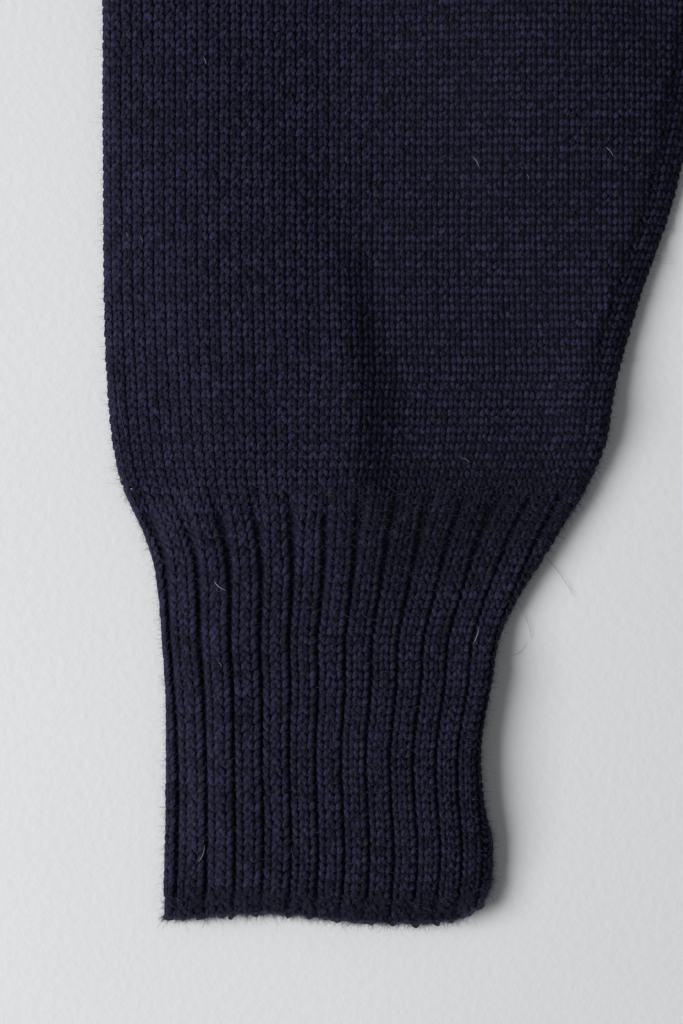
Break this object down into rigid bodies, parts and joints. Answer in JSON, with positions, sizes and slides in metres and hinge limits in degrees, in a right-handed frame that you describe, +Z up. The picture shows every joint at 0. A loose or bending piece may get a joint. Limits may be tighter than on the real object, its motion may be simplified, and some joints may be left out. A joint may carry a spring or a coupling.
{
  "type": "guernsey fisherman sweater",
  "caption": "Flat-laid wool guernsey sweater in plain stockinette, with long sleeves, ribbed cuffs, a ribbed neckband and garter welts split at the sides.",
  "frame": {"origin": "on the surface that the sweater lies on, below the middle of its bounding box", "axes": "+X from the wearer's right sleeve to the left one, +Y from the hem to the neck, +Z up out of the front"},
  "size_m": [1.335, 0.7, 0.0099],
  "materials": {
    "stockinette": "matt navy worsted wool in plain stockinette, with short stray hairs",
    "rib": "the same wool in two by two rib, with deep dark channels between the ribs",
    "garter": "the same wool in garter ridges that run across"
  },
  "bodies": {
    "root": {"front": "stockinette", "back": "stockinette", "sleeve_right": "stockinette", "sleeve_left": "stockinette", "cuff_right": "rib", "cuff_left": "rib", "neckband": "rib", "welt_front": "garter", "welt_back": "garter"}
  },
  "joints": []
}
